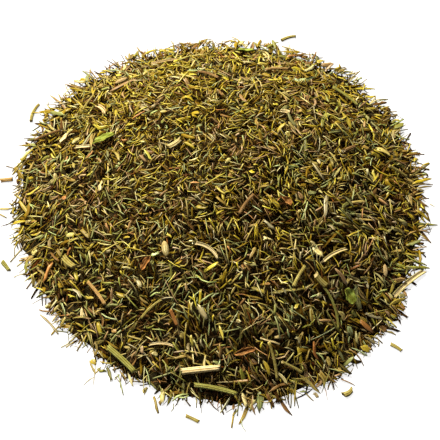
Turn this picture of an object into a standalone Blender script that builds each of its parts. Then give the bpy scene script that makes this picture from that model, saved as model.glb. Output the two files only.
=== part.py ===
"""A round heap of dried cut dill on a table, about 90 mm across and 25 mm high.

Short leaf threads cover a rounded mound. Cut stalks, flakes of leaf and a few
seeds lie among them, and some have rolled off onto the table round its foot.
Everything is in metres, with +Z up and the table at z = 0.
"""

import math
import random

import bmesh
import bpy
from mathutils import Matrix, Vector

MM = 0.001

# Heap: its foot is nearly round, and its side is steepest at the foot
HEAP_MIDDLE = (1.35 * MM, 0.55 * MM)
FOOT_RADIUS = 43.7 * MM
FOOT_OVAL = (-0.3 * MM, -0.65 * MM)
FOOT_LOBES = (-0.5 * MM, 0.9 * MM)
HEAP_HEIGHT = 24.0 * MM
SIDE_POWER = 1.7
SWELL_HEIGHT = 0.45 * MM
SWELL_LENGTH = (5.2 * MM, 6.3 * MM)

# Core: what the top layer of threads stands out of
CORE_DEPTH = 0.5 * MM
CORE_INSET = 1.2 * MM
CORE_EDGE = 0.8 * MM
CORE_MERIDIANS = 24
CORE_RINGS = 12

# Leaf threads: larger than life, so that they cover the mound
THREAD_COUNT = 472
THREAD_LENGTH = 6.6 * MM
THREAD_LENGTH_SPREAD = (0.75, 1.3)
THREAD_WIDTH = 1.35 * MM
THREAD_WIDTH_SPREAD = (0.85, 1.15)
THREAD_ROOT = 0.62
THREAD_TIP = 0.27
THREAD_RISE = (12.0, 3.0)
THREAD_OUT = 0.1 * MM
THREAD_SPREAD_POWER = 0.48
THREAD_TRIES = 16
THREAD_SHRINK = 0.35
FRINGE_COUNT = 84
FRINGE_LENGTH = 6.2 * MM
FRINGE_LENGTH_SPREAD = (0.85, 1.25)
FRINGE_OUT = (-0.3 * MM, 1.2 * MM)
FRINGE_SWING = 52.0
GOLDEN_ANGLE = math.pi * (3.0 - math.sqrt(5.0))

# Clearances: between pieces, and between the table and what lies on it
PIECE_GAP = 0.35 * MM
TABLE_GAP = 0.06 * MM

# Loose pieces
ROD_SIDES = 7
ROD_CUTS = 3
ROD_TAPER = 0.9
ROD_SLANT = 0.25
SPLIT_FLAT = 0.8
SPLIT_LEVEL = 0.12
SPLIT_LIP = 0.18
SPLIT_GROOVE = 0.14
FLAKE_THICKNESS = 0.65 * MM
FLAKE_POINTS = 16
FLAKE_WAVE = 0.16
FLAKE_CUP = 0.3 * MM
SEED_SIDES = (12, 8)
SEED_FLAT = 0.55
SEED_RIBS = 5
SEED_RIB_HEIGHT = 0.09
REST_STATIONS = 8
CLEAR_SAMPLES = 14

SEED = 1907

FINISHES = {
    "olive_leaf": ((0.115, 0.090, 0.018, 1.0), 0.80),
    "green_leaf": ((0.055, 0.075, 0.016, 1.0), 0.78),
    "green_stalk": ((0.130, 0.125, 0.040, 1.0), 0.65),
    "straw_stalk": ((0.420, 0.310, 0.130, 1.0), 0.60),
    "cream_pith": ((0.640, 0.570, 0.400, 1.0), 0.75),
    "brown_stalk": ((0.130, 0.070, 0.025, 1.0), 0.70),
    "rust_flake": ((0.330, 0.120, 0.025, 1.0), 0.70),
    "seed_coat": ((0.340, 0.230, 0.100, 1.0), 0.65),
}


# Scene
def clear_scene():
    for old in list(bpy.data.objects):
        bpy.data.objects.remove(old, do_unlink=True)


def make_finishes():
    """One Principled material for each colour of leaf, stalk and seed."""
    made = {}
    for name, (colour, roughness) in FINISHES.items():
        material = bpy.data.materials.new(name)
        material.use_nodes = True
        shader = material.node_tree.nodes["Principled BSDF"]
        shader.inputs["Base Color"].default_value = colour
        shader.inputs["Roughness"].default_value = roughness
        shader.inputs["Metallic"].default_value = 0.0
        material.diffuse_color = colour
        made[name] = material
    return made


def add_object(name, bm, collection, parent, material, smooth_angle=40.0):
    """Turn a finished bmesh into a named object of the heap."""
    bmesh.ops.recalc_face_normals(bm, faces=bm.faces[:])
    mesh = bpy.data.meshes.new(name)
    bm.to_mesh(mesh)
    bm.free()
    mesh.shade_smooth()
    mesh.set_sharp_from_angle(angle=math.radians(smooth_angle))
    mesh.materials.append(material)
    piece = bpy.data.objects.new(name, mesh)
    collection.objects.link(piece)
    piece.parent = parent
    return piece


# Form of the heap
def foot_radius(angle):
    """Distance from the heap's middle to its foot."""
    oval = FOOT_OVAL[0] * math.cos(2 * angle) + FOOT_OVAL[1] * math.sin(2 * angle)
    lobes = FOOT_LOBES[0] * math.cos(3 * angle) + FOOT_LOBES[1] * math.sin(3 * angle)
    return FOOT_RADIUS + oval + lobes


def way_out(x, y):
    """0 in the heap's middle, 1 at its foot."""
    return math.hypot(x, y) / foot_radius(math.atan2(y, x))


def side_height(t):
    """Height of the heap's side at t of the way out, before its soft swells."""
    return HEAP_HEIGHT * (1.0 - t ** SIDE_POWER)


def core_height(x, y):
    """Height of the core under x, y, measured from the heap's middle."""
    t = way_out(x, y)
    if t >= 1.0:
        return 0.0
    swell = SWELL_HEIGHT * math.sin(x / SWELL_LENGTH[0]) * math.cos(y / SWELL_LENGTH[1])
    return max(CORE_EDGE, side_height(t) - CORE_DEPTH + swell * (1.0 - t ** 4))


def surface_slope(x, y):
    """Rise of the core along x and y."""
    step = 0.4 * MM
    rise_x = (core_height(x + step, y) - core_height(x - step, y)) / (2 * step)
    rise_y = (core_height(x, y + step) - core_height(x, y - step)) / (2 * step)
    return rise_x, rise_y


def surface_axes(x, y, heading):
    """Unit vectors along a heading, across it and straight out of the core."""
    rise_x, rise_y = surface_slope(x, y)
    out = Vector((-rise_x, -rise_y, 1.0)).normalized()
    along = Vector((math.cos(heading), math.sin(heading), 0.0))
    along.z = rise_x * along.x + rise_y * along.y
    along.normalize()
    return along, out.cross(along), out


def make_core():
    """Upper half of a sphere, drawn out to the heap's form, on a flat base."""
    bm = bmesh.new()
    bmesh.ops.create_uvsphere(bm, u_segments=CORE_MERIDIANS, v_segments=CORE_RINGS, radius=1.0)
    bmesh.ops.bisect_plane(
        bm, geom=bm.verts[:] + bm.edges[:] + bm.faces[:], dist=1e-6,
        plane_co=(0, 0, 0), plane_no=(0, 0, -1), clear_outer=True,
    )
    for vert in bm.verts:
        angle = math.atan2(vert.co.y, vert.co.x)
        t = 1.0 - math.asin(max(-1.0, min(1.0, vert.co.z))) / (math.pi / 2)
        reach = t * (foot_radius(angle) - CORE_INSET)
        x, y = reach * math.cos(angle), reach * math.sin(angle)
        vert.co = (x, y, core_height(x, y))
    rim = [edge for edge in bm.edges if edge.is_boundary]
    skirt = bmesh.ops.extrude_edge_only(bm, edges=rim)["geom"]
    for vert in [item for item in skirt if isinstance(item, bmesh.types.BMVert)]:
        vert.co.z = 0.0
    bmesh.ops.contextual_create(bm, geom=[edge for edge in bm.edges if edge.is_boundary])
    return bm


# Loose pieces: each is made lying along X, with its middle at the origin
def straight_rod(length, width, flat):
    """A tapered rod with rings of points along it, so that it can bend."""
    bm = bmesh.new()
    bmesh.ops.create_cone(
        bm, cap_ends=True, segments=ROD_SIDES, depth=length,
        radius1=width / 2, radius2=width / 2 * ROD_TAPER,
    )
    sides = [e for e in bm.edges if abs(e.verts[0].co.z - e.verts[1].co.z) > length / 2]
    bmesh.ops.subdivide_edges(bm, edges=sides, cuts=ROD_CUTS)
    bmesh.ops.rotate(bm, verts=bm.verts[:], matrix=Matrix.Rotation(math.pi / 2, 3, "Y"))
    bmesh.ops.scale(bm, verts=bm.verts[:], vec=(1.0, 1.0, flat))
    return bm


def bend_and_slant(bm, length, bend):
    """Bow a straight piece sideways, and cut its ends at a slant."""
    for vert in bm.verts:
        f = vert.co.x / (length / 2)
        vert.co.x += ROD_SLANT * vert.co.y * f
        vert.co.y += bend * (0.5 - f * f)


def rod(length, width, bend=0.0):
    """A cut piece of stalk."""
    bm = straight_rod(length, width, 1.0)
    bend_and_slant(bm, length, bend)
    return bm


def split_rod(length, width, bend=0.0):
    """A stalk that split lengthwise, with the groove of its pith uppermost."""
    bm = straight_rod(length, width, SPLIT_FLAT)
    cut = bmesh.ops.bisect_plane(
        bm, geom=bm.verts[:] + bm.edges[:] + bm.faces[:], dist=1e-7,
        plane_co=(0, 0, width * SPLIT_LEVEL), plane_no=(0, 0, 1), clear_outer=True,
    )
    edges = [item for item in cut["geom_cut"] if isinstance(item, bmesh.types.BMEdge)]
    pith = bmesh.ops.contextual_create(bm, geom=edges)["faces"]
    bmesh.ops.inset_region(bm, faces=pith, thickness=width * SPLIT_LIP)
    bmesh.ops.translate(bm, verts=list(pith[0].verts), vec=(0, 0, -width * SPLIT_GROOVE))
    bend_and_slant(bm, length, bend)
    return bm


def flake(length, width, lobes):
    """A flat scrap of leaf or skin with a waved edge, cupped along its length."""
    bm = bmesh.new()
    bmesh.ops.create_circle(bm, cap_ends=True, cap_tris=True, segments=FLAKE_POINTS, radius=1.0)
    for vert in bm.verts:
        angle = math.atan2(vert.co.y, vert.co.x)
        wave = 1.0 + FLAKE_WAVE * (math.cos(lobes * angle) - math.sin(2 * angle) / 2)
        vert.co.x *= wave * length / 2
        vert.co.y *= wave * width / 2
    bmesh.ops.solidify(bm, geom=bm.faces[:], thickness=FLAKE_THICKNESS)
    for vert in bm.verts:
        vert.co.z += FLAKE_CUP * (vert.co.x / (length / 2)) ** 2
    bottom = min(vert.co.z for vert in bm.verts)
    top = max(vert.co.z for vert in bm.verts)
    bmesh.ops.translate(bm, verts=bm.verts[:], vec=(0, 0, -(bottom + top) / 2))
    return bm


def seed_grain(length, width):
    """An oval dill seed with its ribs running from end to end."""
    bm = bmesh.new()
    bmesh.ops.create_uvsphere(bm, u_segments=SEED_SIDES[0], v_segments=SEED_SIDES[1], radius=1.0)
    bmesh.ops.rotate(bm, verts=bm.verts[:], matrix=Matrix.Rotation(math.pi / 2, 3, "Y"))
    for vert in bm.verts:
        rib = 1.0 + SEED_RIB_HEIGHT * math.cos(SEED_RIBS * math.atan2(vert.co.z, vert.co.y))
        vert.co.x *= length / 2
        vert.co.y *= rib * width / 2
        vert.co.z *= rib * width * SEED_FLAT / 2
    return bm


def resting_line(x, y, heading, length, half_thickness):
    """Height and pitch of a stiff piece that lies on the core or on the table.

    The piece touches two stations, one on each side of its middle, or tips
    about its middle where that is the highest place under it.
    """
    rise_x, rise_y = surface_slope(x, y)
    steep = math.sqrt(1.0 + rise_x ** 2 + rise_y ** 2)
    stations = []
    for k in range(-REST_STATIONS, REST_STATIONS + 1):
        s = length / 2 * k / REST_STATIONS
        sx, sy = x + s * math.cos(heading), y + s * math.sin(heading)
        over_core = core_height(sx, sy) + (half_thickness + PIECE_GAP) * steep
        on_table = half_thickness + TABLE_GAP
        stations.append((s, max(over_core, on_table) if way_out(sx, sy) < 1.0 else on_table))
    best = None
    for s_left, h_left in stations[:REST_STATIONS]:
        for s_right, h_right in stations[REST_STATIONS + 1:]:
            height = (h_left * s_right - h_right * s_left) / (s_right - s_left)
            if best is None or height > best[0]:
                best = (height, (h_right - h_left) / (s_right - s_left))
    middle = stations[REST_STATIONS][1]
    if middle <= best[0]:
        return best
    rise_ahead = max((h - middle) / s for s, h in stations[REST_STATIONS + 1:])
    rise_behind = min((h - middle) / s for s, h in stations[:REST_STATIONS])
    return middle, (rise_ahead + rise_behind) / 2


class Heap:
    """Collects the loose pieces and remembers where they lie."""

    def __init__(self):
        self.collection = bpy.data.collections.new("dried_dill_heap")
        bpy.context.scene.collection.children.link(self.collection)
        self.parent = bpy.data.objects.new("heap_middle", None)
        self.parent.location = (HEAP_MIDDLE[0], HEAP_MIDDLE[1], 0.0)
        self.collection.objects.link(self.parent)
        self.finishes = make_finishes()
        self.lying = []

    def lay(self, name, bm, at, heading, finish):
        """Rest a loose piece on the heap or on the table at a place in millimetres."""
        size = [max(v.co[k] for v in bm.verts) - min(v.co[k] for v in bm.verts) for k in range(3)]
        x, y = at[0] * MM, at[1] * MM
        turn = math.radians(heading)
        height, pitch = resting_line(x, y, turn, size[0], size[2] / 2)
        along = Vector((math.cos(turn), math.sin(turn), pitch)).normalized()
        out = surface_axes(x, y, turn)[2] if way_out(x, y) < 1.0 else Vector((0, 0, 1))
        across = out.cross(along).normalized()
        basis = Matrix((along, across, along.cross(across))).transposed()
        piece = add_object(name, bm, self.collection, self.parent, self.finishes[finish])
        piece.location = (x, y, height)
        piece.rotation_euler = basis.to_euler()
        middle = Vector((x, y, height))
        half = along * max(0.0, (size[0] - size[1]) / 2)
        self.lying.append((middle - half, middle + half, size[1] / 2 + PIECE_GAP))
        return piece

    def is_clear(self, start, end, radius):
        """Whether a thread from start to end keeps its gap to every loose piece."""
        middle = (start + end) / 2
        reach = (end - start).length / 2
        for a, b, keep in self.lying:
            if (middle - (a + b) / 2).length > reach + (b - a).length / 2 + keep + radius:
                continue
            for k in range(CLEAR_SAMPLES + 1):
                point = start.lerp(end, k / CLEAR_SAMPLES)
                share = (point - a).dot(b - a) / max((b - a).length_squared, 1e-12)
                nearest = a.lerp(b, max(0.0, min(1.0, share)))
                if (point - nearest).length < keep + radius:
                    return False
        return True


# Leaf threads
def crosses(a, b, c, d):
    """Whether two threads, from a to b and from c to d, cross as seen from above."""
    def side(p, q, r):
        return (q.x - p.x) * (r.y - p.y) - (q.y - p.y) * (r.x - p.x)
    return side(a, b, c) * side(a, b, d) < 0 and side(c, d, a) * side(c, d, b) < 0


class ThreadLayer:
    """The top layer of threads, as loose solids that wait to be fused to the core."""

    def __init__(self, heap):
        self.heap = heap
        self.draw = random.Random(SEED)
        self.cutters = bpy.data.collections.new("threads_to_fuse")
        bpy.context.scene.collection.children.link(self.cutters)
        self.laid = []

    def add(self, start, end, out, width):
        """One three-sided thread with its thick end at the start, kept off the table."""
        bm = bmesh.new()
        bmesh.ops.create_cone(
            bm, cap_ends=True, segments=3, depth=(end - start).length,
            radius1=width * THREAD_ROOT, radius2=width * THREAD_TIP,
        )
        along = (end - start).normalized()
        across = out.cross(along).normalized()
        basis = Matrix((across, along.cross(across), along)).transposed().to_4x4()
        place = Matrix.Translation((start + end) / 2) @ basis
        bmesh.ops.transform(bm, matrix=place, verts=bm.verts[:])
        lowest = min(vert.co.z for vert in bm.verts)
        bmesh.ops.translate(bm, verts=bm.verts[:], vec=(0, 0, max(0.0, TABLE_GAP - lowest)))
        bmesh.ops.recalc_face_normals(bm, faces=bm.faces[:])
        mesh = bpy.data.meshes.new("thread")
        bm.to_mesh(mesh)
        bm.free()
        thread = bpy.data.objects.new("thread", mesh)
        thread.parent = self.heap.parent
        self.cutters.objects.link(thread)
        self.laid.append((start, end))

    def crossings(self, start, end):
        """How many threads a new one would cross."""
        middle = (start + end) / 2
        reach = THREAD_LENGTH * THREAD_LENGTH_SPREAD[1]
        near = [(a, b) for a, b in self.laid if (middle - (a + b) / 2).length < reach]
        return sum(crosses(start, end, a, b) for a, b in near)

    def add_best(self, propose, out, width):
        """Add the proposed thread that keeps clear of loose pieces and crosses fewest others."""
        best = None
        for attempt in range(THREAD_TRIES):
            start, end = propose(attempt / THREAD_TRIES)
            if not self.heap.is_clear(start, end, width * THREAD_ROOT):
                continue
            count = self.crossings(start, end)
            if best is None or count < best[0]:
                best = (count, start, end)
            if count == 0:
                break
        if best:
            self.add(best[1], best[2], out, width)

    def cover_side(self):
        """Spread threads evenly over the core, thick end sunk and thin end raised."""
        draw = self.draw
        for index in range(THREAD_COUNT):
            share = (index + 0.5) / THREAD_COUNT
            angle = index * GOLDEN_ANGLE
            reach = (foot_radius(angle) - CORE_INSET) * share ** THREAD_SPREAD_POWER
            x, y = reach * math.cos(angle), reach * math.sin(angle)
            middle = Vector((x, y, core_height(x, y)))
            width = THREAD_WIDTH * draw.uniform(*THREAD_WIDTH_SPREAD)

            def propose(patience):
                along, across, out = surface_axes(x, y, draw.uniform(0.0, 2 * math.pi))
                rise = Matrix.Rotation(-math.radians(draw.gauss(*THREAD_RISE)), 3, across)
                length = THREAD_LENGTH * draw.uniform(*THREAD_LENGTH_SPREAD)
                half = rise @ along * length / 2 * (1.0 - patience * THREAD_SHRINK)
                return middle + out * THREAD_OUT - half, middle + out * THREAD_OUT + half

            self.add_best(propose, surface_axes(x, y, 0.0)[2], width)

    def fringe_foot(self):
        """Lay threads flat on the table, with their thick ends in the foot."""
        draw = self.draw
        for index in range(FRINGE_COUNT):
            angle = 2 * math.pi * (index + draw.uniform(-0.3, 0.3)) / FRINGE_COUNT
            width = THREAD_WIDTH * draw.uniform(*THREAD_WIDTH_SPREAD)
            reach = foot_radius(angle) + draw.uniform(*FRINGE_OUT)
            height = width * THREAD_ROOT / 2 + TABLE_GAP
            tip = Vector((reach * math.cos(angle), reach * math.sin(angle), height))

            def propose(_patience):
                swing = angle + math.radians(draw.uniform(-FRINGE_SWING, FRINGE_SWING))
                length = FRINGE_LENGTH * draw.uniform(*FRINGE_LENGTH_SPREAD)
                return tip - Vector((math.cos(swing), math.sin(swing), 0.0)) * length, tip

            self.add_best(propose, Vector((0, 0, 1)), width)

    def remove(self):
        for thread in list(self.cutters.objects):
            bpy.data.objects.remove(thread, do_unlink=True)
        bpy.data.collections.remove(self.cutters)


def keep_largest_body(mesh):
    """Drop any thread that the union left loose."""
    bm = bmesh.new()
    bm.from_mesh(mesh)
    unseen = set(bm.verts)
    bodies = []
    while unseen:
        body = set()
        edge_of_body = [next(iter(unseen))]
        while edge_of_body:
            vert = edge_of_body.pop()
            if vert in body:
                continue
            body.add(vert)
            edge_of_body.extend(edge.other_vert(vert) for edge in vert.link_edges)
        unseen -= body
        bodies.append(body)
    bodies.sort(key=len)
    for body in bodies[:-1]:
        bmesh.ops.delete(bm, geom=list(body), context="VERTS")
    bmesh.ops.triangulate(bm, faces=bm.faces[:])
    bm.to_mesh(mesh)
    bm.free()
    return len(bodies) - 1


def make_mound(heap):
    """Core and threads, fused into one body."""
    layer = ThreadLayer(heap)
    layer.cover_side()
    layer.fringe_foot()
    mound = add_object(
        "leaf_thread_mound", make_core(), heap.collection, heap.parent,
        heap.finishes["olive_leaf"],
    )
    fuse = mound.modifiers.new("fuse_threads", "BOOLEAN")
    fuse.operation = "UNION"
    fuse.operand_type = "COLLECTION"
    fuse.collection = layer.cutters
    fuse.solver = "MANIFOLD"
    graph = bpy.context.evaluated_depsgraph_get()
    fused = bpy.data.meshes.new_from_object(mound.evaluated_get(graph))
    mound.modifiers.clear()
    mound.data = fused
    dropped = keep_largest_body(fused)
    fused.shade_flat()
    layer.remove()
    print(f"mound: {len(layer.laid)} threads, {dropped} loose, {len(fused.polygons)} triangles")


# What lies among the threads: place in mm from the middle, heading in degrees
def lay_straw(heap):
    """Dry yellow and cream stalks, whole or split lengthwise."""
    whole, split = rod, split_rod
    stalks = [
        ("straw_stalk_front", whole, (-3.3, -38.3), 2, 7.2, 1.15, 0.10),
        ("straw_stalk_left", whole, (-23.8, -23.2), -53, 5.8, 1.00, 0.25),
        ("straw_stalk_left_low", whole, (-13.0, -27.8), 32, 5.6, 0.75, 0.30),
        ("straw_stalk_right", split, (22.6, -17.0), 36, 5.6, 1.00, 0.45),
        ("straw_stalk_right_low", whole, (15.4, -22.4), 59, 4.4, 0.90, 0.20),
        ("straw_stalk_edge_right", split, (38.6, -17.6), 43, 9.0, 1.15, 0.40),
        ("straw_stalk_far_right", whole, (37.6, 6.6), -8, 5.2, 0.85, 0.15),
        ("straw_stalk_far_left", split, (-24.6, 18.2), -61, 4.6, 1.00, 0.40),
        ("straw_stalk_back", whole, (12.5, 29.0), 24, 6.2, 0.90, 0.30),
        ("straw_stalk_back_left", split, (-12.0, 34.0), 8, 5.4, 0.95, 0.20),
        ("cream_stalk_left", split, (-28.0, 7.8), -22, 4.0, 1.10, 0.15),
        ("cream_stub_top", whole, (-8.5, 2.2), 30, 2.6, 1.00, 0.00),
        ("cream_curl_front", split, (-10.9, -33.6), -8, 4.6, 0.80, 0.60),
        ("cream_bend_middle", split, (-1.9, -18.9), -32, 4.8, 0.85, 0.80),
    ]
    for name, make, at, heading, length, width, bend in stalks:
        finish = "cream_pith" if name.startswith("cream") else "straw_stalk"
        piece = make(length * MM, width * MM, bend=bend * MM)
        heap.lay(name, piece, at, heading, finish)


def lay_green_and_brown(heap):
    """Green stalks, and brown ones that dried on the plant."""
    stalks = [
        ("green_stalk_front", "green_stalk", (-18.8, -35.2), -42, 7.0, 1.15, 0.25),
        ("green_stalk_front_low", "green_stalk", (-0.5, -41.3), -11, 8.2, 0.90, 0.35),
        ("green_stalk_right", "green_stalk", (22.3, -26.6), -66, 9.0, 0.75, 0.80),
        ("green_stalk_back", "green_stalk", (27.5, 24.5), -38, 6.6, 0.90, 0.30),
        ("green_stub_left", "green_stalk", (-29.8, -16.4), -47, 3.2, 1.20, 0.00),
        ("green_stub_right", "green_stalk", (19.7, -22.6), -36, 2.8, 1.15, 0.00),
        ("brown_stalk_front", "brown_stalk", (10.6, -36.8), -74, 7.6, 0.85, 0.30),
        ("brown_stalk_front_right", "brown_stalk", (14.2, -37.4), -17, 4.6, 0.80, 0.15),
        ("brown_stalk_far_left", "brown_stalk", (-36.4, 15.6), -6, 8.0, 0.85, 0.30),
        ("brown_stalk_front_left", "brown_stalk", (-8.5, -29.8), -64, 3.0, 0.80, 0.10),
        ("brown_stalk_middle", "brown_stalk", (5.2, -10.8), 53, 4.6, 0.80, 0.30),
        ("brown_stalk_far_right", "brown_stalk", (26.8, 7.2), 42, 3.8, 0.90, 0.10),
        ("brown_stalk_back", "brown_stalk", (-2.0, 24.0), -35, 5.6, 0.80, 0.40),
    ]
    for name, finish, at, heading, length, width, bend in stalks:
        heap.lay(name, rod(length * MM, width * MM, bend=bend * MM), at, heading, finish)


def lay_flakes_and_seeds(heap):
    """Broad scraps of leaf and skin, and dill seeds."""
    flakes = [
        ("leaf_flake_right", "green_leaf", (25.6, -24.0), -27, 3.0, 2.2, 5),
        ("leaf_flake_left", "green_leaf", (-23.2, 7.6), 10, 4.4, 1.6, 6),
        ("leaf_flake_back", "green_leaf", (6.0, 38.0), 12, 3.6, 1.8, 5),
        ("rust_flake_middle", "rust_flake", (13.2, -9.2), -31, 2.0, 1.4, 4),
        ("rust_flake_front", "rust_flake", (4.9, -35.6), 13, 3.6, 1.5, 5),
        ("rust_flake_left", "rust_flake", (-13.9, -20.2), 55, 2.8, 1.3, 4),
        ("pale_flake_top", "cream_pith", (13.4, 11.9), 13, 2.0, 1.3, 4),
        ("pale_flake_right", "cream_pith", (26.3, -20.8), -5, 2.9, 1.3, 5),
        ("pale_flake_left", "cream_pith", (-32.2, 12.0), 61, 2.2, 1.3, 4),
    ]
    for name, finish, at, heading, length, width, lobes in flakes:
        heap.lay(name, flake(length * MM, width * MM, lobes), at, heading, finish)
    seeds = [
        ("dill_seed_middle", (-10.2, -18.4), -80, 3.0, 1.7),
        ("dill_seed_right", (33.4, -17.0), 95, 2.6, 1.5),
        ("dill_seed_back", (-21.0, 27.0), 20, 2.9, 1.6),
    ]
    for name, at, heading, length, width in seeds:
        heap.lay(name, seed_grain(length * MM, width * MM), at, heading, "seed_coat")


def lay_strays(heap):
    """Bits that rolled off and lie on the table beside the heap."""
    strays = [
        ("stray_brown_left", "brown_stalk", (-45.3, 7.2), 7, 2.4, 0.80, 0.10),
        ("stray_leaf_far_left", "green_leaf", (-40.8, 24.6), 72, 4.6, 0.70, 0.45),
        ("stray_straw_left", "straw_stalk", (-43.7, -13.4), -52, 2.4, 0.75, 0.10),
        ("stray_green_front", "green_stalk", (25.2, -41.0), 34, 1.8, 1.00, 0.00),
        ("stray_leaf_front", "green_leaf", (-5.0, -46.2), -26, 2.6, 0.70, 0.10),
        ("stray_leaf_right", "green_leaf", (35.2, -31.4), -34, 2.4, 0.70, 0.15),
        ("stray_leaf_back", "green_leaf", (16.0, 45.2), 20, 3.4, 0.70, 0.30),
    ]
    for name, finish, at, heading, length, width, bend in strays:
        heap.lay(name, rod(length * MM, width * MM, bend=bend * MM), at, heading, finish)


def main():
    clear_scene()
    heap = Heap()
    lay_straw(heap)
    lay_green_and_brown(heap)
    lay_flakes_and_seeds(heap)
    lay_strays(heap)
    make_mound(heap)


main()
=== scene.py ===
# %% [markdown]
# # A heap of dried cut dill
# Dill leaves are fine threads. Dried and cut, they are a few millimetres long, and poured
# out they make a low round heap with steep sides. Pieces of stalk, scraps of leaf and a
# few seeds lie among them. The solids give the heap its size and form. This script lays
# real-sized threads over that form, one on another, and dresses every larger piece.

# %% Load the solids
import math

import bmesh
import bpy
import numpy as np
from mathutils import Matrix, Vector
from mathutils.bvhtree import BVHTree


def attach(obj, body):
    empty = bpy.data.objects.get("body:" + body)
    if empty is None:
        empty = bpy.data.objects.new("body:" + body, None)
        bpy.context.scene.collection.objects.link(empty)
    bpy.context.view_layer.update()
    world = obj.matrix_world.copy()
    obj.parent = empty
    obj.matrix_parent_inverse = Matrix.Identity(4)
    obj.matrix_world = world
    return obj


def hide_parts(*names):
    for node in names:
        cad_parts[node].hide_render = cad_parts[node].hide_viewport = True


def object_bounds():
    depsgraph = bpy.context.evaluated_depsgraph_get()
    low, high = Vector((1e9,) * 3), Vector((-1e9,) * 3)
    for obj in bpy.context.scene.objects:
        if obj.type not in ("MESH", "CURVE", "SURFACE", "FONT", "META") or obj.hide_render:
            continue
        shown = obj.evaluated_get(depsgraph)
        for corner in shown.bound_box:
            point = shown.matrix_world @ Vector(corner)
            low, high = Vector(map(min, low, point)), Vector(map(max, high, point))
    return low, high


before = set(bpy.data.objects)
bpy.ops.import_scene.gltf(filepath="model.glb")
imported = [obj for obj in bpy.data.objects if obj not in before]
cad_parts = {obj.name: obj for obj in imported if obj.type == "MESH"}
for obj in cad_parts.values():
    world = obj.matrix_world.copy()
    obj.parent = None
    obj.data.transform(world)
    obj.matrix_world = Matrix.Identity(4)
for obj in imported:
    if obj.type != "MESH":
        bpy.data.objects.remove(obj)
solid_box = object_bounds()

MM = 0.001
MOUND = "leaf_thread_mound"
loose_nodes = sorted(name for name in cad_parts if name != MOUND)
print("solids:", len(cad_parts), "loose pieces among them:", len(loose_nodes))

# %% [markdown]
# ## Shader maths in Python
# A material is a graph of nodes, and a formula in it soon takes a dozen of them. Here a
# small class wraps one output of a node, so that `1 - mask` or `noise * 0.3` in Python adds
# the Math node for it. Every other node comes from one method that sets its options first
# and then its inputs.

# %% Sockets that can be added and multiplied
SINK_GREEN = 1.3
SINK_BLUE = 1.75


class Socket:
    """One output of a node. Arithmetic on it adds Math nodes to its material."""

    def __init__(self, finish, output):
        self.finish = finish
        self.output = output

    def maths(self, operation, *values):
        return self.finish.add("ShaderNodeMath", {"operation": operation}, values)

    def __add__(self, other):
        return self.maths("ADD", self, other)

    def __sub__(self, other):
        return self.maths("SUBTRACT", self, other)

    def __rsub__(self, other):
        return self.maths("SUBTRACT", other, self)

    def __mul__(self, other):
        return self.maths("MULTIPLY", self, other)

    def __truediv__(self, other):
        return self.maths("DIVIDE", self, other)

    def __pow__(self, other):
        return self.maths("POWER", self, other)

    __radd__ = __add__
    __rmul__ = __mul__

    def floor(self):
        return self.maths("FLOOR", self)

    def fraction(self):
        return self.maths("FRACT", self)

    def between(self, low, high):
        """0 at or below low, 1 at or above high, and a straight ramp from one to the other."""
        settings = {"clamp": True}
        return self.finish.add("ShaderNodeMapRange", settings, {"Value": self, 1: low, 2: high})


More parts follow.
